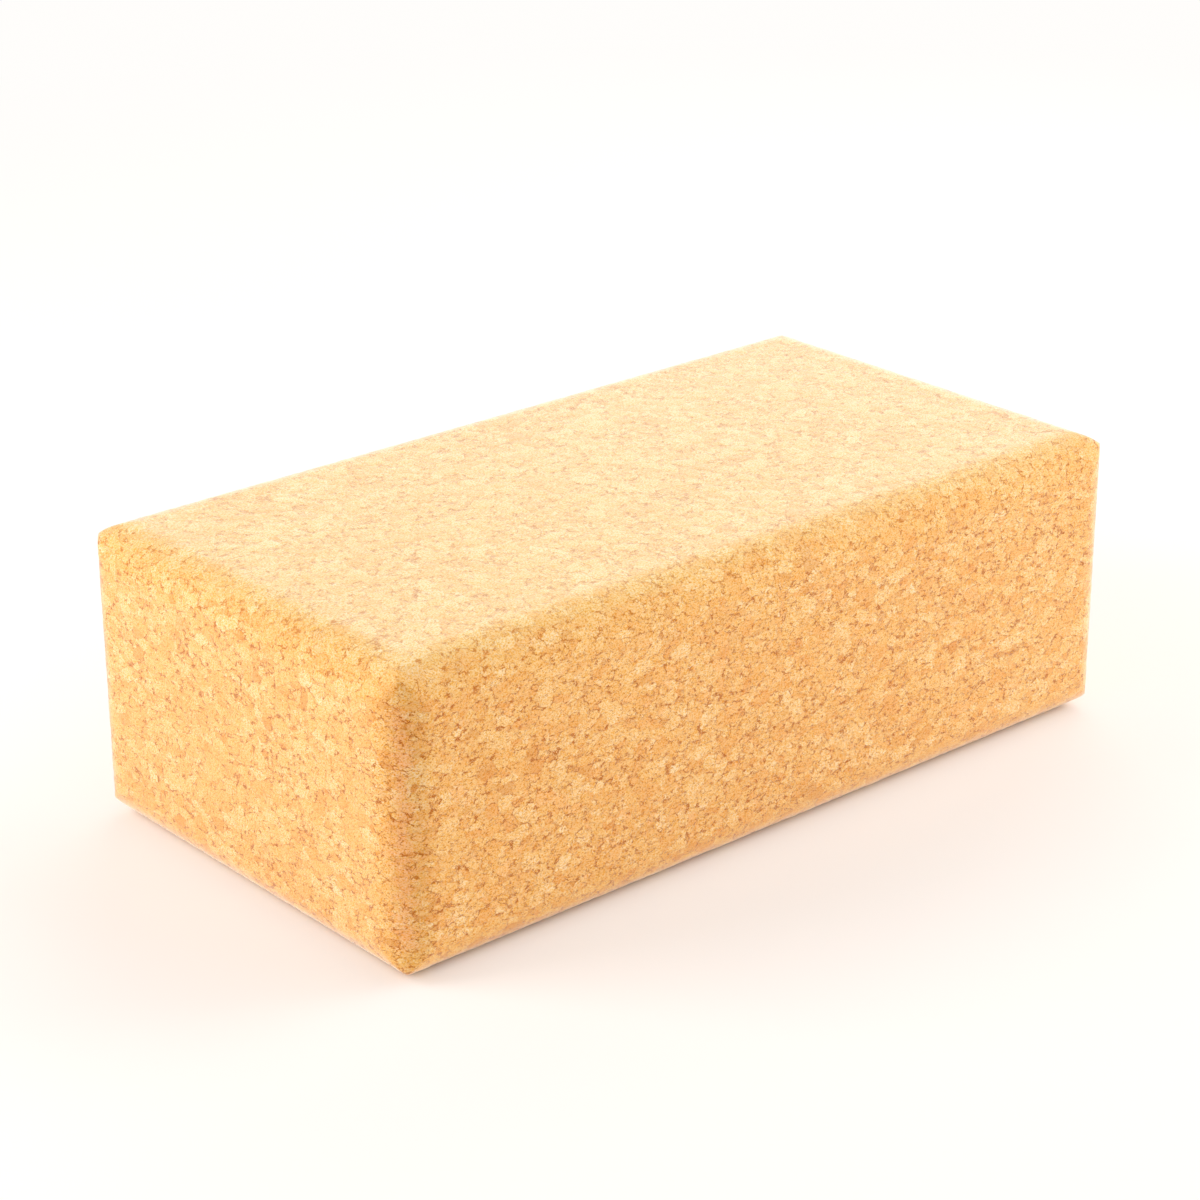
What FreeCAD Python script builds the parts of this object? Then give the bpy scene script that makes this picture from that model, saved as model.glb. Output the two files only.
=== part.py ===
import FreeCAD, Part
import math
import os
import Sketcher

# A yoga block: one billet of pressed cork granules, sawn square, then rounded over along all twelve edges.
# Millimetres. X runs along the length, Y across the width and Z up. The origin is the bottom centre.

NODE = "cork_block"

# Driving dimensions

SIZES = [
    ("block_length", 227, "along X, from end face to end face"),
    ("block_width", 120, "along Y, from long side to long side"),
    ("block_height", 75, "along Z, from resting face to top face"),
    ("edge_radius", 10, "round-over that runs straight along every edge"),
    ("tip_step", 2, "how much smaller than the round-over the ball is that eases each corner tip"),
]

doc = FreeCAD.newDocument("yoga_block")
sheet = doc.addObject("Spreadsheet::Sheet", "sizes")
for row, (alias, value, note) in enumerate(SIZES, start=1):
    sheet.set(f"A{row}", str(value))
    sheet.setAlias(f"A{row}", alias)
    sheet.set(f"B{row}", note)
doc.recompute()


# Sketch helpers

START, END, CENTRE = 1, 2, 3
ORIGIN_POINT = (-1, 1)


def measure(expression):
    """The value in millimetres of an expression in named sizes."""
    return float(sheet.evalExpression(expression))


def sketch_on(body, name, role):
    """A new sketch that lies flat on the body's own origin plane of this role."""
    plane = next(feature for feature in body.Origin.OriginFeatures if feature.Role == role)
    sketch = body.newObject("Sketcher::SketchObject", name)
    sketch.AttachmentSupport = (plane, [""])
    sketch.MapMode = "FlatFace"
    return sketch


def constrain(sketch, kind, *geometry):
    """Adds one geometric constraint between lines, arcs or their points."""
    sketch.addConstraint(Sketcher.Constraint(kind, *geometry))


def dimension(sketch, name, expression, kind, *geometry):
    """Adds a length or radius under a plain name and ties it to the sheet."""
    index = sketch.addConstraint(Sketcher.Constraint(kind, *geometry, measure(expression)))
    sketch.renameConstraint(index, name)
    sketch.setExpression(f"Constraints.{name}", expression)


def add_lines(sketch, ends):
    """Straight lines, one for each pair of end points."""
    points = [[FreeCAD.Vector(x, y, 0) for x, y in pair] for pair in ends]
    return [sketch.addGeometry(Part.LineSegment(*pair)) for pair in points]


def level_and_upright(sketch, lines):
    """Four lines in turn: bottom and top are horizontal, right and left are vertical."""
    for line in lines[0::2]:
        constrain(sketch, "Horizontal", line)
    for line in lines[1::2]:
        constrain(sketch, "Vertical", line)


def square_outline(sketch, name, span, rise):
    """A rectangle about the sketch's centre."""
    x, y = measure(span) / 2, measure(rise) / 2
    corners = [(-x, -y), (x, -y), (x, y), (-x, y)]
    following = corners[1:] + corners[:1]
    lines = add_lines(sketch, zip(corners, following))
    for line, next_line in zip(lines, lines[1:] + lines[:1]):
        constrain(sketch, "Coincident", line, END, next_line, START)
    level_and_upright(sketch, lines)
    bottom, right, top, left = lines
    constrain(sketch, "Symmetric", bottom, START, top, START, *ORIGIN_POINT)
    dimension(sketch, f"{name}_span", span, "DistanceX", bottom, START, bottom, END)
    dimension(sketch, f"{name}_rise", rise, "DistanceY", right, START, right, END)


def rounded_outline(sketch, name, span, rise, radius):
    """A rectangle about the sketch's centre with a quarter round at each corner."""
    r = measure(radius)
    x, y = measure(span) / 2, measure(rise) / 2
    flat_x, flat_y = x - r, y - r
    quarter = math.pi / 2
    lines = add_lines(sketch, [
        ((-flat_x, -y), (flat_x, -y)),
        ((x, -flat_y), (x, flat_y)),
        ((flat_x, y), (-flat_x, y)),
        ((-x, flat_y), (-x, -flat_y)),
    ])
    arcs = []
    for turn, (sign_x, sign_y) in enumerate([(1, -1), (1, 1), (-1, 1), (-1, -1)]):
        centre = FreeCAD.Vector(sign_x * flat_x, sign_y * flat_y, 0)
        circle = Part.Circle(centre, FreeCAD.Vector(0, 0, 1), r)
        arcs.append(sketch.addGeometry(Part.ArcOfCircle(circle, (turn - 1) * quarter, turn * quarter)))
    for line, arc, next_line in zip(lines, arcs, lines[1:] + lines[:1]):
        constrain(sketch, "Tangent", line, END, arc, START)
        constrain(sketch, "Tangent", arc, END, next_line, START)
    for arc in arcs[1:]:
        constrain(sketch, "Equal", arcs[0], arc)
    level_and_upright(sketch, lines)
    bottom, right, top, left = lines
    constrain(sketch, "Symmetric", arcs[0], CENTRE, arcs[2], CENTRE, *ORIGIN_POINT)
    dimension(sketch, f"{name}_radius", radius, "Radius", arcs[0])
    dimension(sketch, f"{name}_span", span, "DistanceX", left, START, right, START)
    dimension(sketch, f"{name}_rise", rise, "DistanceY", bottom, START, top, START)


# The billet, sawn square, with its sharp tips eased

def saw_billet(body):
    """A square pad about the body's centre, with a ball fillet on every edge for the corner tips."""
    sketch = sketch_on(body, "billet_outline", "XY_Plane")
    square_outline(sketch, "billet", "sizes.block_length", "sizes.block_width")
    billet = body.newObject("PartDesign::Pad", "billet")
    billet.Profile = sketch
    billet.SideType = "Symmetric"
    billet.setExpression("Length", "sizes.block_height")
    doc.recompute()

    tips = body.newObject("PartDesign::Fillet", "eased_tips")
    tips.Base = (billet, [f"Edge{number}" for number, edge in enumerate(billet.Shape.Edges, start=1)])
    tips.setExpression("Radius", "sizes.edge_radius - sizes.tip_step")
    doc.recompute()
    return [billet, tips]


# The round-over passes, each straight along one axis

def round_over(body, name, role, span, rise):
    """Cuts away all that lies outside a rounded outline, right through the billet."""
    sketch = sketch_on(body, f"{name}_outline", role)
    rounded_outline(sketch, "kept", span, rise, "sizes.edge_radius")
    waste = "2 * sizes.edge_radius"
    square_outline(sketch, "waste", f"{span} + {waste}", f"{rise} + {waste}")
    cut = body.newObject("PartDesign::Pocket", name)
    cut.Profile = sketch
    cut.SideType = "Symmetric"
    cut.Type = "ThroughAll"
    doc.recompute()
    return cut


block = doc.addObject("PartDesign::Body", NODE)
block.Label = NODE
block.setExpression("Placement.Base.z", "sizes.block_height / 2")

steps = saw_billet(block)
steps.append(round_over(block, "upright_edges", "XY_Plane", "sizes.block_length", "sizes.block_width"))
steps.append(round_over(block, "long_edges", "YZ_Plane", "sizes.block_width", "sizes.block_height"))
steps.append(round_over(block, "end_edges", "XZ_Plane", "sizes.block_length", "sizes.block_height"))
doc.recompute()


# Checks and files

for item in doc.Objects:
    if "Invalid" in item.State or "Error" in item.State:
        raise RuntimeError(f"{item.Label} failed to build: {item.State}")
for before, after in zip(steps, steps[1:]):
    if not after.Shape.Volume < before.Shape.Volume:
        raise RuntimeError(f"{after.Label} cut nothing")
if block.Shape.isNull() or not block.Shape.isValid() or len(block.Shape.Solids) != 1:
    raise RuntimeError(f"{NODE} isn't one sound solid")

os.makedirs("parts", exist_ok=True)
block.Shape.exportStep(f"parts/{NODE}.step")
print(NODE, "volume", round(block.Shape.Volume), "mm3, box", block.Shape.BoundBox)
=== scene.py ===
# %% [markdown]
# # A yoga block of pressed cork
#
# The real block is one billet: cork granules and a little binder, pressed in a mould, sawn square,
# rounded over along every edge and sanded. It has no seams and no fittings, so all there is to see is its
# form and its surface. This lesson makes the form as one numpy surface, sinks the granules' relief into
# it, and then paints the same granules with nodes, so that heights and colours agree.

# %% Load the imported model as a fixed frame
import bpy
import numpy as np
from mathutils import Matrix, Vector


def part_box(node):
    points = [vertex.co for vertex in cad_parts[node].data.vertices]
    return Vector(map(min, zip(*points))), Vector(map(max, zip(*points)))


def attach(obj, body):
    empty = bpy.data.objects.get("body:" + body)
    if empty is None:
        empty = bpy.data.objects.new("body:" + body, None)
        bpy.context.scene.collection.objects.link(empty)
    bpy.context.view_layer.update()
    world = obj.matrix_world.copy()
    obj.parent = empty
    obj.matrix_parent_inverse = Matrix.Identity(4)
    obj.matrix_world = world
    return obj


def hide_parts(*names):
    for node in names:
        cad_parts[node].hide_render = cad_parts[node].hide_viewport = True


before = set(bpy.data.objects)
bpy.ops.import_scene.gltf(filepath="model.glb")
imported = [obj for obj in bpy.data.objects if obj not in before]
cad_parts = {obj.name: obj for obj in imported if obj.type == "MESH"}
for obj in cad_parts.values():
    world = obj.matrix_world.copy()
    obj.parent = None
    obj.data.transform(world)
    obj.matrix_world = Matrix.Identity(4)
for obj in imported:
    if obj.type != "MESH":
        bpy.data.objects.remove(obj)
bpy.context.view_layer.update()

MM = 0.001
low, high = (np.array(corner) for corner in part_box("cork_block"))
size = high - low
centre = (high + low) / 2
print("CAD block in mm:", np.round(size / MM, 2))

# %% [markdown]
# ## The form
#
# A rounded box could be a cube with a Bevel modifier, but a bevel makes ball corners and long thin faces.
# On the real block a cutter ran straight along each edge, so the round-overs meet at the corners in soft
# mitres. Here the surface starts as a fine lattice over all six faces of a plain box, because small even
# faces can hold the relief of the granules. One formula then pulls every lattice point in to the rounded
# form.

# %% Lattice stops along one axis
EDGE_RADIUS = 10 * MM
LATTICE_STEP = 1 * MM
BEND_STEPS = 8


def lattice_stops(half):
    """Stops from -half to half. On the flat they are evenly spaced. Past it they follow the tangent of
    evenly spaced angles up to 45 degrees, so that the bent part gets even steps too."""
    flat = half - EDGE_RADIUS
    cell_count = round(2 * flat / LATTICE_STEP)
    straight = np.linspace(-flat, flat, cell_count + 1)
    angles = np.linspace(0, np.pi / 4, BEND_STEPS + 1)[1:]
    bend = flat + EDGE_RADIUS * np.tan(angles)
    return np.concatenate([-bend[::-1], straight, bend])


stops = [lattice_stops(side / 2) for side in size]
print("lattice stops along X, Y and Z:", [len(axis_stops) for axis_stops in stops])

# %% Six lattice faces, welded into one closed surface


def box_lattice(stops):
    """Every face is a grid of two axes, with the third held at one end. A point's three stop numbers make
    one key, and points with the same key are welded. Quads turn anticlockwise seen from outside, and each
    starts at the point that lets its fold run out to the nearest corner of the box, as the mitres do."""
    counts = [len(axis_stops) for axis_stops in stops]
    keys, quads, used = [], [], 0
    for axis in range(3):
        across, along = (axis + 1) % 3, (axis + 2) % 3
        for end in (0, counts[axis] - 1):
            index = [None, None, None]
            index[across], index[along] = np.meshgrid(
                np.arange(counts[across]), np.arange(counts[along]), indexing="ij")
            index[axis] = np.full_like(index[across], end)
            key = (index[0] * counts[1] + index[1]) * counts[2] + index[2]
            point = used + np.arange(key.size).reshape(key.shape)
            ring = [point[:-1, :-1], point[1:, :-1], point[1:, 1:], point[:-1, 1:]]
            quad = np.stack(ring if end else [ring[0], *ring[:0:-1]], axis=-1)
            from_middle = [np.arange(count - 1) - (count - 2) / 2 for count in key.shape]
            leaning = np.multiply.outer(*from_middle) < 0
            quad[leaning] = np.roll(quad[leaning], 1, axis=-1)
            quads.append(quad.reshape(-1, 4))
            keys.append(key.ravel())
            used += key.size
    unique, weld = np.unique(np.concatenate(keys), return_inverse=True)
    points = np.stack([
        stops[0][unique // (counts[1] * counts[2])],
        stops[1][unique // counts[2] % counts[1]],
        stops[2][unique % counts[2]],
    ], axis=1)
    return points, weld[np.concatenate(quads)]


lattice, quads = box_lattice(stops)
print("welded points:", len(lattice), "triangles:", 2 * len(quads))

# %% Pull the lattice in to the rounded form
MITRE_SOFTNESS = 30
TINY = 1e-9


def round_over(points):
    """The part of a point past the flat core is its excess. Along an edge the two excesses lie on a
    circle. At a corner the sum of the three squares, less the smallest one's, equals the radius squared,
    which is where three straight passes meet in mitres. A soft minimum eases the mitres a little."""
    flat = size / 2 - EDGE_RADIUS
    core = np.clip(points, -flat, flat)
    excess = points - core
    amount = np.maximum(np.abs(excess), TINY)
    smallest = (amount ** -MITRE_SOFTNESS).sum(axis=1) ** (-1 / MITRE_SOFTNESS)
    squares = (excess ** 2).sum(axis=1) - smallest ** 2
    outward = excess / np.linalg.norm(excess, axis=1, keepdims=True)
    return core + excess * (EDGE_RADIUS / np.sqrt(squares))[:, None], outward


surface, outward = round_over(lattice)
print("rounded form in mm:", np.round(np.ptp(surface, axis=0) / MM, 2))

# %% [markdown]
# ## The granules, as one pattern
#
# Pressed cork shows granules of two sizes: whole ones, and crumbs that fill in between. They are
# flattened, because the billet was pressed from above. A Voronoi pattern divides space into such cells.
# It could be drawn once for the colours and again for the heights, but then the two would not agree. So
# one function adds the pattern to any node tree, and both the mesh and the finish call it.

# %% Helpers that write Math nodes


def wire(tree, socket, value):
    """Links an output to an input, or writes a plain value into it."""
    if isinstance(value, bpy.types.NodeSocket):
        tree.links.new(value, socket)
    else:
        socket.default_value = value


def number(tree, operation, *values):
    """One Math node on numbers."""
    node = tree.nodes.new("ShaderNodeMath")
    node.operation = operation
    for socket, value in zip(node.inputs, values):
        wire(tree, socket, value)
    return node.outputs[0]


def vector(tree, operation, *values):
    """One Vector Math node."""
    node = tree.nodes.new("ShaderNodeVectorMath")
    node.operation = operation
    for socket, value in zip(node.inputs, values):
        wire(tree, socket, value)
    return node.outputs["Vector"]


def blend(tree, share, first, second):
    """first where share is 0, second where it is 1: first + share * (second - first)."""
    step = number(tree, "SUBTRACT", second, first)
    return number(tree, "MULTIPLY_ADD", step, share, first)


def split(tree, value):
    """The three parts of a vector or a colour."""
    node = tree.nodes.new("ShaderNodeSeparateXYZ")
    wire(tree, node.inputs[0], value)
    return list(node.outputs)


print("Math helpers work in shader trees and in geometry trees")

# %% Helpers that write patterns


def noise(tree, place, pitch, detail=2.0, roughness=0.5):
    """Cloudy noise whose blobs are about one pitch apart along X, Y and Z."""
    node = tree.nodes.new("ShaderNodeTexNoise")
    node.inputs["Scale"].default_value = 1
    node.inputs["Detail"].default_value = detail
    node.inputs["Roughness"].default_value = roughness
    wire(tree, node.inputs["Vector"], vector(tree, "DIVIDE", place, pitch))
    return node


def cells(tree, place, pitch):
    """Voronoi cells about one pitch apart: three random numbers for each cell, and the distance to its
    wall, counted in pitches."""
    spread = vector(tree, "DIVIDE", place, pitch)
    colour = tree.nodes.new("ShaderNodeTexVoronoi")
    wall = tree.nodes.new("ShaderNodeTexVoronoi")
    wall.feature = "DISTANCE_TO_EDGE"
    for node in (colour, wall):
        node.inputs["Scale"].default_value = 1
        wire(tree, node.inputs["Vector"], spread)
    return *split(tree, colour.outputs["Color"]), wall.outputs["Distance"]


print("pattern helpers measure their pitch in metres")

# %% The granules
GRANULE_PITCH = (4.0 * MM, 4.0 * MM, 2.7 * MM)
CRUMB_PITCH = (2.3 * MM, 2.3 * MM, 1.55 * MM)
CRUMBLED_SHARE = 0.55
OVERLAP_SHARE = 0.25
WOBBLE_PITCH = (1.1 * MM, 1.1 * MM, 0.8 * MM)
WOBBLE_REACH = (2.0 * MM, 2.0 * MM, 1.3 * MM)
MIDDLE = 0.5


def granules(tree, place):
    """Space bent by noise, so that walls are ragged, then cut into cells. A cell of the coarse pattern
    stays whole, or is given over to the cells of the fine pattern. Gives each granule two random numbers,
    tone and hue, and the distance to its wall in millimetres."""
    cloud = noise(tree, place, WOBBLE_PITCH, detail=3.0, roughness=0.6).outputs["Color"]
    push = vector(tree, "SUBTRACT", cloud, (MIDDLE, MIDDLE, MIDDLE))
    bent = vector(tree, "MULTIPLY_ADD", push, WOBBLE_REACH, place)
    pick, tone, hue, wall = cells(tree, bent, GRANULE_PITCH)
    crumb_tone, crumb_hue, crumb_wall = cells(tree, bent, CRUMB_PITCH)[1:]
    crumbled = number(tree, "LESS_THAN", pick, CRUMBLED_SHARE)
    wall = number(tree, "MULTIPLY", wall, GRANULE_PITCH[0] / MM)
    crumb_wall = number(tree, "MULTIPLY", crumb_wall, CRUMB_PITCH[0] / MM)
    nearest = number(tree, "MINIMUM", wall, crumb_wall)
    own = blend(tree, crumbled, tone, crumb_tone)
    other = blend(tree, crumbled, crumb_tone, tone)
    return (
        blend(tree, OVERLAP_SHARE, own, other),
        blend(tree, crumbled, hue, crumb_hue),
        blend(tree, crumbled, wall, nearest),
    )


print("granules in mm:", [round(pitch / MM, 2) for pitch in GRANULE_PITCH])
print("crumbs in mm:", [round(pitch / MM, 2) for pitch in CRUMB_PITCH])

# %% [markdown]
# ## The mesh, with the granules' relief
#
# Sanding leaves hard granules a little higher than soft ones, and the binder between them sinks. Bump
# alone could fake that, but a bump leaves the outline smooth and is lost when the mesh is kept without
# its finish. So the points are moved. To know which granule each point belongs to, the granule nodes run
# once as Geometry Nodes on the mesh's own points, and numpy reads the answer back.

# %% Make the mesh
mesh = bpy.data.meshes.new("cork_block_skin")
mesh.from_pydata(surface + centre, [], quads)
mesh.shade_smooth()
block = bpy.data.objects.new("cork_block_skin", mesh)
bpy.context.scene.collection.objects.link(block)
print("mesh points:", len(mesh.vertices), "faces:", len(mesh.polygons))

# %% Read the granules at every point


def read_at_points(piece):
    """Runs the granule nodes on a mesh's own points and gives tone, hue and wall as arrays."""
    tree = bpy.data.node_groups.new("granule_reader", "GeometryNodeTree")
    for direction in ("INPUT", "OUTPUT"):
        tree.interface.new_socket("Geometry", in_out=direction, socket_type="NodeSocketGeometry")
    geometry = tree.nodes.new("NodeGroupInput").outputs[0]
    place = tree.nodes.new("GeometryNodeInputPosition").outputs[0]
    names = ("tone", "hue", "wall")
    for name, value in zip(names, granules(tree, place)):
        store = tree.nodes.new("GeometryNodeStoreNamedAttribute")
        store.inputs["Name"].default_value = name
        wire(tree, store.inputs["Geometry"], geometry)
        wire(tree, store.inputs["Value"], value)
        geometry = store.outputs[0]
    wire(tree, tree.nodes.new("NodeGroupOutput").inputs[0], geometry)
    reader = piece.modifiers.new("granule_reader", "NODES")
    reader.node_group = tree
    shaped = piece.evaluated_get(bpy.context.evaluated_depsgraph_get()).data
    values = np.empty((len(names), len(shaped.vertices)), dtype=np.float32)
    for row, name in zip(values, names):
        shaped.attributes[name].data.foreach_get("value", row)
    piece.modifiers.remove(reader)
    bpy.data.node_groups.remove(tree)
    return values


point_tone, _, point_wall = read_at_points(block)
print("median distance to a granule's wall in mm:", round(float(np.median(point_wall)), 2))

# %% Sink the relief into the surface
STEP_DEPTH = 0.06 * MM
GROOVE_DEPTH = 0.10 * MM
GROOVE_REACH = 0.35


def relief(tone, wall):
    """How far each point sinks: a step for each granule by its tone, and a groove that fades along a bell
    curve with the distance to the wall. Nothing stands proud of the sanded form."""
    groove = GROOVE_DEPTH * np.exp(-(wall / GROOVE_REACH) ** 2)
    return STEP_DEPTH * (1 - tone) + groove


sunk = relief(point_tone, point_wall)
points = surface - outward * sunk[:, None] + centre
mesh.vertices.foreach_set("co", points.astype(np.float32).ravel())
mesh.update()
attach(block, "root")
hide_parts("cork_block")
print("relief in mm, from", round(sunk.min() / MM, 3), "to", round(sunk.max() / MM, 3))

# %% Mark the round-overs
LEVEL_EASE = 2.0
# the other upright edges get this share of the wear and its painted shade
OTHER_EDGES_SHARE = 0.45
# how far down a round-over must face for its full painted shade
UNDERSIDE_SHADE_FROM = 0.8
FLAT_FROM = 0.999


def edge_wear(outward):
    """The second largest part of the normal over the largest: 0 on a flat face and 1 in the middle of an
    edge. It turns negative as the normal turns up or down, so upright edges, cut across the pressed
    layers, are told from level edges, cut along them. The upright edge at the front left gets the most,
    as its darkening is partly painted shade where it faces away from the lamps, and the other three less."""
    parts = np.sort(np.abs(outward), axis=1)
    wear = parts[:, 1] / parts[:, 2] * (1 - LEVEL_EASE * np.abs(outward[:, 2]))
    front_left = (outward[:, 0] < 0) & (outward[:, 1] < 0)
    return np.where(front_left | (wear < 0), wear, wear * OTHER_EDGES_SHARE)


def painted_underside_shade(outward):
    """How much painted shade a round-over gets where it faces the floor: 0 where it faces sideways,
    rising to 1 where it faces mostly down, and 0 again on the flat underside. Towards the tip of a corner
    it fades out."""
    down = np.clip(-outward[:, 2], 0, 1)
    parts = np.sort(np.abs(outward), axis=1)
    tip = parts[:, 0] / parts[:, 2]
    return np.clip(down / UNDERSIDE_SHADE_FROM, 0, 1) * (down < FLAT_FROM) * (1 - tip)


wear = edge_wear(outward)
painted_shade = painted_underside_shade(outward)
facing = np.abs(outward[:, 2])
for name, values in (("edge_wear", wear), ("painted_underside_shade", painted_shade), ("pressed_face", facing)):
    mesh.attributes.new(name, "FLOAT", "POINT").data.foreach_set("value", values.astype(np.float32))
print("points on round-overs:", int((wear > 0).sum()), "rubbed by the floor:", int((painted_shade > 0).sum()))

# %% [markdown]
# ## The cork finish
#
# Each granule of cork has its own tan, from rust to cream, and a few are rosy or still carry bark. A
# picture of cork could be wrapped round the block, but it would stretch at the round-overs and show
# seams. A solid pattern on Object coordinates runs through the block as the real granules do, so it meets
# itself at every edge. Where an edge is worn, granules lose their palest tones, and that darkening is
# partly painted shade, so the wear is worked out first.

# %% Start the finish
cork = bpy.data.materials.new("pressed_cork")
cork.use_nodes = True
tree = cork.node_tree
shader = tree.nodes["Principled BSDF"]
place = tree.nodes.new("ShaderNodeTexCoord").outputs["Object"]
tone, hue, wall = granules(tree, place)
mesh.materials.append(cork)


def measured(tree, name):
    """A measure kept on the mesh, read back by its name."""
    node = tree.nodes.new("ShaderNodeAttribute")
    node.attribute_name = name
    return node.outputs["Fac"]


flat_on = measured(tree, "pressed_face")
print("nodes for the granules:", len(tree.nodes))

# %% Helpers that write colours


def remap(tree, value, start, end, low=0.0, high=1.0):
    """A smooth step: low up to start, high from end on, and an S-curve between."""
    node = tree.nodes.new("ShaderNodeMapRange")
    node.interpolation_type = "SMOOTHSTEP"
    for socket, setting in zip(node.inputs, (value, start, end, low, high)):
        wire(tree, socket, setting)
    return node.outputs[0]


def mix_colour(tree, share, first, second, mode="MIX"):
    """Mixes two colours, or multiplies the first by the second, and keeps the result between black and
    white."""
    node = tree.nodes.new("ShaderNodeMix")
    node.data_type = "RGBA"
    node.blend_type = mode
    node.clamp_result = True
    wire(tree, node.inputs[0], share)
    wire(tree, node.inputs[6], first)
    wire(tree, node.inputs[7], second)
    return node.outputs[2]


def colour_steps(tree, value, stops):
    """A colour for each value, blended evenly from each given stop to the next."""
    node = tree.nodes.new("ShaderNodeValToRGB")
    elements = node.color_ramp.elements
    while len(elements) < len(stops):
        elements.new(MIDDLE)
    for element, (position, colour) in zip(elements, stops):
        element.position = position
        element.color = (*colour, 1)
    wire(tree, node.inputs["Fac"], value)
    return node.outputs["Color"]


print("colour helpers take colours as linear red, green and blue")

# %% How worn each place is, with painted shade on the upright edges
STREAK_PITCH = (3.0 * MM, 3.0 * MM, 1.0 * MM)
STREAK_SHARE = 1.2
WEAR_AND_SHADE_FROM = 0.40
wear_read = measured(tree, "edge_wear")
streaks = noise(tree, place, STREAK_PITCH, detail=1.0).outputs["Fac"]
streak = number(tree, "SUBTRACT", streaks, MIDDLE)
wear_and_shade = remap(tree, number(tree, "MULTIPLY_ADD", streak, STREAK_SHARE, wear_read), WEAR_AND_SHADE_FROM, 1.0)
print("wear runs in streaks, pitch in mm:", [round(pitch / MM, 1) for pitch in STREAK_PITCH])

# %% Granule colours
CLOUD_PITCH = (28 * MM, 28 * MM, 20 * MM)
CLOUD_SHARE = 0.15
EVENED_SHARE = 0.25
WEAR_AND_SHADE_SHARE = 0.6
WEAR_AND_SHADE_TONE = 0.3
TAN_STEPS = [
    (0.00, (0.86, 0.400, 0.103)),
    (0.18, (0.895, 0.470, 0.136)),
    (0.50, (0.915, 0.535, 0.173)),
    (0.80, (0.94, 0.592, 0.232)),
    (0.92, (0.955, 0.632, 0.275)),
    (1.00, (0.965, 0.675, 0.325)),
]
cloud = number(tree, "SUBTRACT", noise(tree, place, CLOUD_PITCH).outputs["Fac"], MIDDLE)
evened = blend(tree, number(tree, "MULTIPLY", flat_on, EVENED_SHARE), tone, MIDDLE)
# worn upright edges lose their palest tones: partly wear, partly painted shade
evened = blend(tree, number(tree, "MULTIPLY", wear_and_shade, WEAR_AND_SHADE_SHARE), evened, WEAR_AND_SHADE_TONE)
clouded = number(tree, "MULTIPLY_ADD", cloud, CLOUD_SHARE, evened)
colour = colour_steps(tree, clouded, TAN_STEPS)
print("tans from rust to cream:", len(TAN_STEPS))

# %% Rosy granules and bark
ROSE = (0.93, 0.50, 0.17, 1)
ROSE_UP_TO = 0.16
ROSE_SHARE = 0.7
BARK = (0.74, 0.31, 0.06, 1)
BARK_FROM = 0.92
BARK_SHARE = 0.65
SANDED_SHARE = 0.6
rosy = remap(tree, hue, 0.0, ROSE_UP_TO, ROSE_SHARE, 0.0)
barky = remap(tree, hue, BARK_FROM, 1.0, 0.0, BARK_SHARE)
sanded = number(tree, "MULTIPLY_ADD", flat_on, -SANDED_SHARE, 1.0)
colour = mix_colour(tree, number(tree, "MULTIPLY", rosy, sanded), colour, ROSE)
colour = mix_colour(tree, number(tree, "MULTIPLY", barky, sanded), colour, BARK)
print("share of rosy granules up to", ROSE_UP_TO, "and with bark up to", round(1 - BARK_FROM, 2))

# %% [markdown]
# ### Grain, borders and cracks
#
# Close up, a granule isn't one flat colour. Its cells were cut open by sanding and make a fine grain, its
# border is darkened with painted shade where the groove between granules sinks, and here and there the
# binder has cracked into dark slits, thin squiggles and pinholes, the pinholes darkened with painted
# shade in their pits. Each of these is its own layer, so that each can be judged against the real thing
# by itself.

# %% Fine grain
GRAIN_PITCH = (0.42 * MM, 0.42 * MM, 0.30 * MM)
GRAIN_STEPS = [
    (0.25, (0.84, 0.50, 0.00)),
    (0.40, (0.97, 0.83, 0.42)),
    (0.50, (1.00, 1.00, 1.00)),
    (0.60, (1.01, 1.10, 1.45)),
    (0.75, (1.02, 1.20, 1.70)),
]
grain = noise(tree, place, GRAIN_PITCH, detail=1.0, roughness=0.7).outputs["Fac"]
colour = mix_colour(tree, 1.0, colour, colour_steps(tree, grain, GRAIN_STEPS), "MULTIPLY")
print("grain in mm:", round(GRAIN_PITCH[0] / MM, 2))

# %% Soft brown borders, painted shade in the grooves
# painted shade: granule borders darken where the grooves between granules sink
GROOVE_SHADE = (0.90, 0.65, 0.24, 1)
BORDER_REACH = 0.30
BORDER_FROM, BORDER_FULL = 0.40, 0.72
OPENING_PITCH = (1.7 * MM, 1.7 * MM, 1.3 * MM)
opening = noise(tree, place, OPENING_PITCH, detail=1.0).outputs["Fac"]
near_wall = remap(tree, wall, 0.0, BORDER_REACH, 1.0, 0.0)
groove_shade = number(tree, "MULTIPLY", near_wall, remap(tree, opening, BORDER_FROM, BORDER_FULL))
# painted shade along the granule walls
colour = mix_colour(tree, groove_shade, colour, mix_colour(tree, 1.0, colour, GROOVE_SHADE, "MULTIPLY"))
print("borders reach in mm:", BORDER_REACH)

# %% Dark slits along the walls
DARK = (0.52, 0.14, 0.0, 1)
CLOSED_SHARE = 0.45
SLIT_FROM, SLIT_FULL = 0.48, 0.70
SHUT_REACH, SLIT_REACH = 0.005, 0.17
SLIT_CORE = 0.3
SLIT_SHARE = 0.95
open_share = number(tree, "MULTIPLY_ADD", flat_on, -CLOSED_SHARE, 1.0)
gape = remap(tree, opening, SLIT_FROM, SLIT_FULL, SHUT_REACH, SLIT_REACH)
slit = remap(tree, number(tree, "DIVIDE", wall, gape), SLIT_CORE, 1.0, SLIT_SHARE, 0.0)
slit = number(tree, "MULTIPLY", slit, open_share)
colour = mix_colour(tree, slit, colour, DARK)
print("slits reach in mm:", SLIT_REACH)

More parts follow.
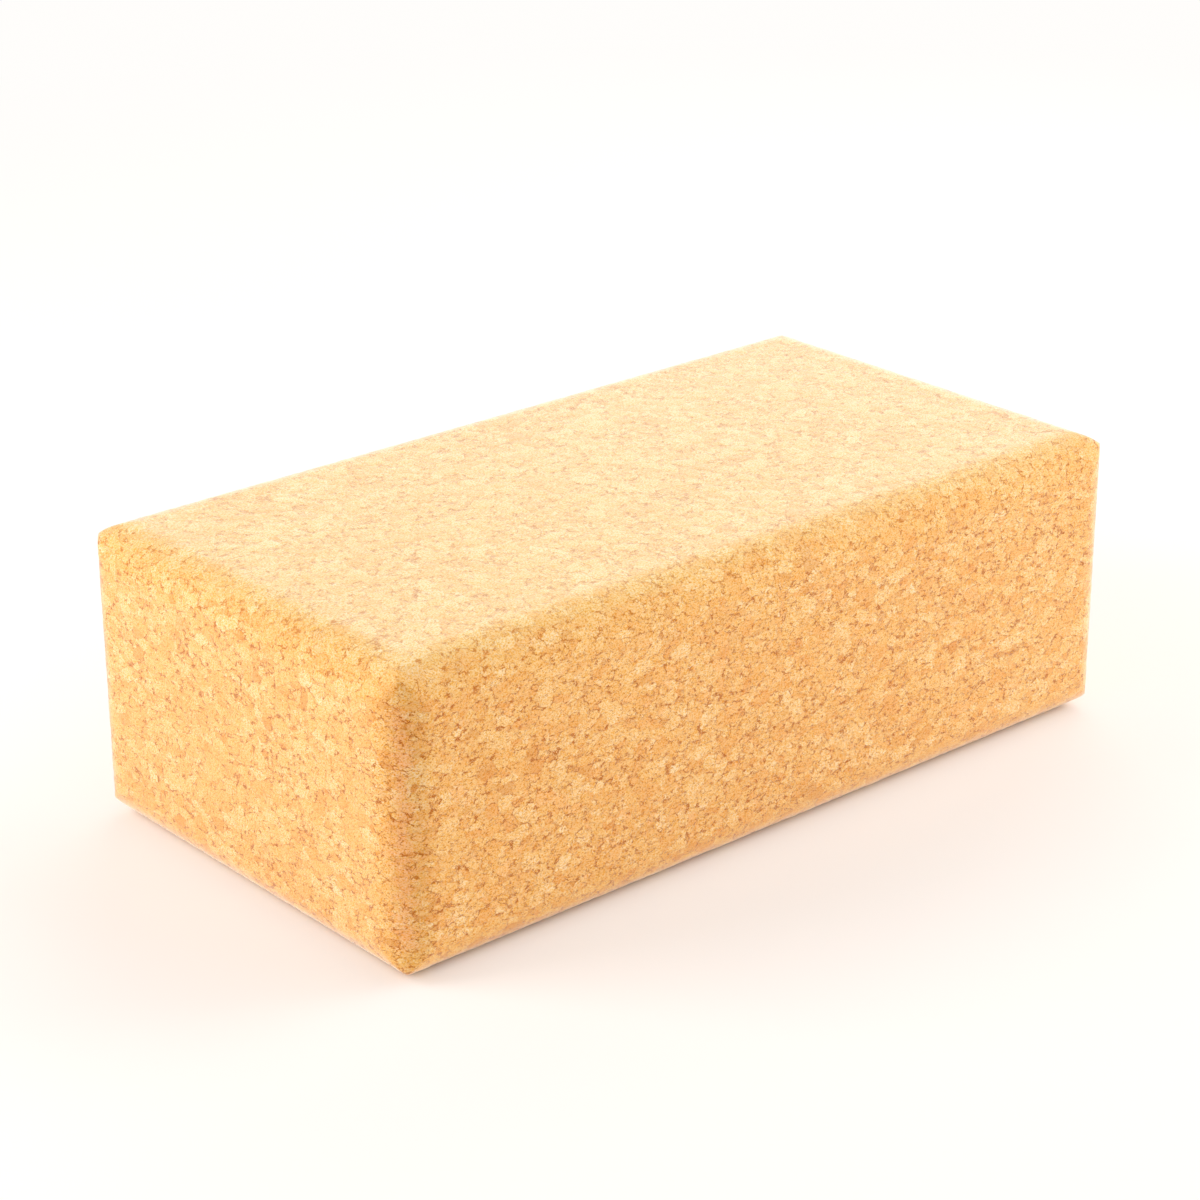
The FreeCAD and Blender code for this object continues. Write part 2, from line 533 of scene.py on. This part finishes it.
# %% Thin squiggles
SQUIGGLE_PITCH = (1.0 * MM, 1.0 * MM, 0.7 * MM)
SQUIGGLE_REACH = 0.05
SQUIGGLE_SHARE = 0.85
SQUIGGLE_FROM, SQUIGGLE_FULL = 0.46, 0.60
vein, patch = split(tree, noise(tree, place, SQUIGGLE_PITCH, detail=1.0).outputs["Color"])[:2]
ridge = number(tree, "ABSOLUTE", number(tree, "SUBTRACT", vein, MIDDLE))
squiggle = remap(tree, ridge, 0.0, SQUIGGLE_REACH, SQUIGGLE_SHARE, 0.0)
squiggle = number(tree, "MULTIPLY", squiggle, remap(tree, patch, SQUIGGLE_FROM, SQUIGGLE_FULL))
squiggle = number(tree, "MULTIPLY", squiggle, open_share)
colour = mix_colour(tree, squiggle, colour, DARK)
print("squiggles follow the middle value of a noise, within", SQUIGGLE_REACH)

# %% Pinholes, darkened with painted shade
HOLE_PITCH = (0.6 * MM, 0.6 * MM, 0.5 * MM)
HOLE_FROM, HOLE_FULL = 0.70, 0.79
HOLE_SHARE = 0.9
pits = noise(tree, place, HOLE_PITCH, detail=1.0, roughness=0.6).outputs["Fac"]
hole = remap(tree, pits, HOLE_FROM, HOLE_FULL, 0.0, HOLE_SHARE)
hole = number(tree, "MULTIPLY", hole, open_share)
# painted shade: the pits of the pinholes are coloured dark
colour = mix_colour(tree, hole, colour, DARK)
print("pinholes in mm:", round(HOLE_PITCH[0] / MM, 2))

# %% [markdown]
# ### Pressed faces, worn edges, and how the surface takes light
#
# The top and the underside lay against the press. They were sanded closer, so they show fewer cracks and
# fewer rosy or barky granules. Their tan is given a little less red as painted light, for the paler,
# yellower look of the brightly lit top. The cutter that rounds an upright edge burnishes it in streaks,
# rosier and smoother, and a shade darker; that darkening is partly painted shade, strongest on the front
# left edge, which faces away from the lamps. The level edges are painted paler, as painted light from the
# bright top, and the lowest ones get painted shade, browner where they face the floor. The measures kept
# on the mesh drive all of this. They could be painted by hand, but a measure follows the form when its
# sizes change.
#
# Sanded cork has next to no gloss, but its open cells make a soft bright haze where it is seen at a low
# angle. A sheen does that in any light, so none of it is painted.

# %% Pressed faces, with painted light
# painted light: the pressed faces keep less red, standing in for the paler, yellower look of the brightly
# lit top
TOP_LIGHT_TINT = (0.89, 1.0, 1.04, 1)
TOP_LIGHT_FROM = 0.5
pressed = remap(tree, flat_on, TOP_LIGHT_FROM, 1.0)
# paint the light of the top as less red on the pressed faces
colour = mix_colour(tree, pressed, colour, mix_colour(tree, 1.0, colour, TOP_LIGHT_TINT, "MULTIPLY"))
print("pressed faces keep", TOP_LIGHT_TINT[0], "of their red")

# %% Worn edges, with painted shade and painted light on the round-overs
# wear and painted shade on the upright edges: rosier in streaks
WEAR_AND_SHADE = (1.03, 0.96, 1.14, 1)
# painted light: the level round-overs are made paler, as the bright top's light spreads over its edges
PAINTED_EDGE_LIGHT = (1.05, 1.03, 1.05, 1)
# painted shade: browner and less blue where a round-over faces the floor
UNDERSIDE_SHADE = (1.0, 0.92, 0.40, 1)
PAINTED_EDGE_LIGHT_FROM, PAINTED_EDGE_LIGHT_FULL = -0.05, -0.40
underside_shade_read = measured(tree, "painted_underside_shade")
# upright edges: wear in streaks, partly painted shade
colour = mix_colour(tree, wear_and_shade, colour, mix_colour(tree, 1.0, colour, WEAR_AND_SHADE, "MULTIPLY"))
# painted light: paler level round-overs
pale = remap(tree, wear_read, PAINTED_EDGE_LIGHT_FROM, PAINTED_EDGE_LIGHT_FULL)
colour = mix_colour(tree, pale, colour, mix_colour(tree, 1.0, colour, PAINTED_EDGE_LIGHT, "MULTIPLY"))
# painted shade on the round-overs that face the floor
colour = mix_colour(tree, underside_shade_read, colour, mix_colour(tree, 1.0, colour, UNDERSIDE_SHADE, "MULTIPLY"))
wire(tree, shader.inputs["Base Color"], colour)
print("layers done, nodes:", len(tree.nodes))

# %% Bump, roughness and sheen
BUMP_DEPTH = 0.15 * MM
BUMP_STRENGTH = 0.5
GRAIN_HEIGHT = 0.5
ROUGHNESS, ROUGHNESS_SPREAD = 0.55, 0.2
BURNISH = 0.08
SPECULAR = 0.2
SHEEN, SHEEN_ROUGHNESS = 0.85, 0.4
height = number(tree, "MULTIPLY_ADD", grain, GRAIN_HEIGHT, number(tree, "MULTIPLY", slit, -1.0))
height = number(tree, "SUBTRACT", height, hole)
bump = tree.nodes.new("ShaderNodeBump")
bump.inputs["Distance"].default_value = BUMP_DEPTH
bump.inputs["Strength"].default_value = BUMP_STRENGTH
wire(tree, bump.inputs["Height"], height)
wire(tree, shader.inputs["Normal"], bump.outputs["Normal"])
rough = number(tree, "MULTIPLY_ADD", grain, ROUGHNESS_SPREAD, ROUGHNESS)
wire(tree, shader.inputs["Roughness"], number(tree, "MULTIPLY_ADD", wear_and_shade, -BURNISH, rough))
shader.inputs["Specular IOR Level"].default_value = SPECULAR
shader.inputs["Sheen Weight"].default_value = SHEEN
shader.inputs["Sheen Roughness"].default_value = SHEEN_ROUGHNESS
print("bump depth in mm:", round(BUMP_DEPTH / MM, 2))

# %% [markdown]
# ## The floor and the background
#
# The block stands on a plain white sweep, bright enough to vanish, with only a faint warm shadow left.
# Turning the lamps up would do that, but would bleach the cork too. So the floor is an ordinary pale
# paint that glows a little, and only where the camera looks at it straight or in a reflection: the light
# on the block stays plain. The glow stops short of the block's foot, which keeps the dark line of contact
# there, and far off it rises to full white, so that the floor ends in the background without an edge.

# %% Which rays see the background


def seen(tree):
    """1 for rays from the camera, off gloss or through glass, and 0 for the rays that light things."""
    light_path = tree.nodes.new("ShaderNodeLightPath")
    share = light_path.outputs["Is Camera Ray"]
    for kind in ("Is Glossy Ray", "Is Transmission Ray"):
        share = number(tree, "MAXIMUM", share, light_path.outputs[kind])
    return share


print("camera, glossy and transmission rays see the background")

# %% Floor
FLOOR_REACH = 3.0
FLOOR_PAINT = (0.935, 0.87, 0.825, 1)
FLOOR_GLOW = 0.36
FOOT_INSET = 8 * MM
FOOT = size / 2 - FOOT_INSET
FOOT_SHADOW = 5 * MM
FADE_FROM, FADE_TO = 0.2, 0.7
GLOW_COLOUR = (1.0, 0.985, 0.965, 1)
corners = np.array([(-1, -1, 0), (1, -1, 0), (1, 1, 0), (-1, 1, 0)]) * FLOOR_REACH
floor_mesh = bpy.data.meshes.new("floor")
floor_mesh.from_pydata(corners, [], [(0, 1, 2, 3)])
floor = bpy.data.objects.new("floor", floor_mesh)
bpy.context.scene.collection.objects.link(floor)
print("floor in metres:", 2 * FLOOR_REACH)

# %% How far a floor point lies from the block


def off_the_foot(tree):
    """What a place has over half the foot's length along X and half its width along Y, joined as the two
    short sides of a right-angled triangle."""
    ways = split(tree, tree.nodes.new("ShaderNodeTexCoord").outputs["Object"])[:2]
    legs = []
    for way, half in zip(ways, FOOT):
        over = number(tree, "SUBTRACT", number(tree, "ABSOLUTE", way), float(half))
        legs.append(number(tree, "MAXIMUM", over, 0.0))
    squares = [number(tree, "MULTIPLY", leg, leg) for leg in legs]
    return number(tree, "SQRT", number(tree, "ADD", *squares))


print("foot in mm:", np.round(2 * FOOT[:2] / MM, 1))

# %% Floor paint
paint = bpy.data.materials.new("floor_paint")
paint.use_nodes = True
tree = paint.node_tree
matt = tree.nodes["Principled BSDF"]
matt.inputs["Base Color"].default_value = FLOOR_PAINT
matt.inputs["Specular IOR Level"].default_value = 0
glow = tree.nodes.new("ShaderNodeEmission")
glow.inputs["Color"].default_value = GLOW_COLOUR
mixed = tree.nodes.new("ShaderNodeMixShader")
distance = off_the_foot(tree)
near_glow = remap(tree, distance, 0.0, FOOT_SHADOW, 0.0, FLOOR_GLOW)
far_glow = remap(tree, distance, FADE_FROM, FADE_TO)
glowing = number(tree, "MAXIMUM", near_glow, far_glow)
wire(tree, mixed.inputs[0], number(tree, "MULTIPLY", seen(tree), glowing))
wire(tree, mixed.inputs[1], matt.outputs[0])
wire(tree, mixed.inputs[2], glow.outputs[0])
wire(tree, tree.nodes["Material Output"].inputs["Surface"], mixed.outputs[0])
floor_mesh.materials.append(paint)
print("the floor glows by", FLOOR_GLOW, "beside the block and fully from", FADE_TO, "m on")

# %% World
SKY_LIGHT = 0.55
WHITE = (1, 1, 1, 1)
world = bpy.data.worlds.new("studio")
world.use_nodes = True
tree = world.node_tree
sky = tree.nodes["Background"]
sky.inputs["Color"].default_value = WHITE
wire(tree, sky.inputs["Strength"], blend(tree, seen(tree), SKY_LIGHT, 1.0))
bpy.context.scene.world = world
print("light from all round:", SKY_LIGHT)

# %% [markdown]
# ## The lamps
#
# The soft shadows of a product picture come from large soft boxes. A big one stands behind the block at
# the right and another high at the right, and together they light the top. One at the left lights the
# near end. Two low ones, in front and at the right, brighten the long side towards its far end. A single
# sun lamp could give the brightness, but its shadow would be hard. The strengths are set so that a colour
# renders about as it is written.

# %% Soft boxes
LAMPS = {
    "back_softbox": ((1.0, 0.8, 0.7), 1.0, 7.0),
    "high_softbox": ((0.8, -0.3, 1.0), 0.8, 4.1),
    "front_softbox": ((0.45, -0.55, 0.35), 0.6, 1.45),
    "right_softbox": ((0.95, -0.4, 0.3), 0.5, 3.0),
    "left_softbox": ((-0.65, 0.35, 0.42), 0.5, 4.5),
}
for name, (spot, side, watts) in LAMPS.items():
    lamp = bpy.data.lights.new(name, "AREA")
    lamp.size = side
    lamp.energy = watts
    softbox = bpy.data.objects.new(name, lamp)
    softbox.location = spot
    softbox.rotation_euler = (Vector(centre) - Vector(spot)).to_track_quat("-Z", "Y").to_euler()
    bpy.context.scene.collection.objects.link(softbox)
print("soft boxes:", ", ".join(LAMPS))

# %% [markdown]
# ## The camera
#
# The picture was taken with a fairly long lens, a little above the block and turned so that an end and a
# long side both show. The angles, distance and focal length here come from fitting the block's whole
# outline. Blender could aim the camera with a Track To constraint, but then the small tilt of the picture
# would be lost.

# %% Camera
VIEW_AZIMUTH, VIEW_ELEVATION, VIEW_ROLL = np.radians([-40.91, 22.71, 0.22])
VIEW_DISTANCE = 772 * MM
VIEW_OFFSET = (4.18 * MM, 4.38 * MM)
FOCAL_PIXELS, FRAME_PIXELS = 3146, 1200
SENSOR = 36

level = np.cos(VIEW_ELEVATION)
back = np.array([np.sin(VIEW_AZIMUTH) * level, -np.cos(VIEW_AZIMUTH) * level, np.sin(VIEW_ELEVATION)])
across = np.cross((0, 0, 1), back) / level
upward = np.cross(back, across)
right = np.cos(VIEW_ROLL) * across - np.sin(VIEW_ROLL) * upward
up = np.cos(VIEW_ROLL) * upward + np.sin(VIEW_ROLL) * across
eye = centre + back * VIEW_DISTANCE - right * VIEW_OFFSET[0] + up * VIEW_OFFSET[1]
print("eye in mm:", np.round(eye / MM, 1))

# %% Set the camera
camera_data = bpy.data.cameras.new("camera")
camera_data.sensor_width = SENSOR
camera_data.lens = SENSOR * FOCAL_PIXELS / FRAME_PIXELS
camera = bpy.data.objects.new("camera", camera_data)
bpy.context.scene.collection.objects.link(camera)
turn = Matrix(np.stack([right, up, back], axis=1).tolist()).to_4x4()
camera.matrix_world = Matrix.Translation(Vector(eye)) @ turn
bpy.context.scene.camera = camera
bpy.context.scene.view_settings.view_transform = "Standard"
print("lens in mm:", round(camera_data.lens, 1))
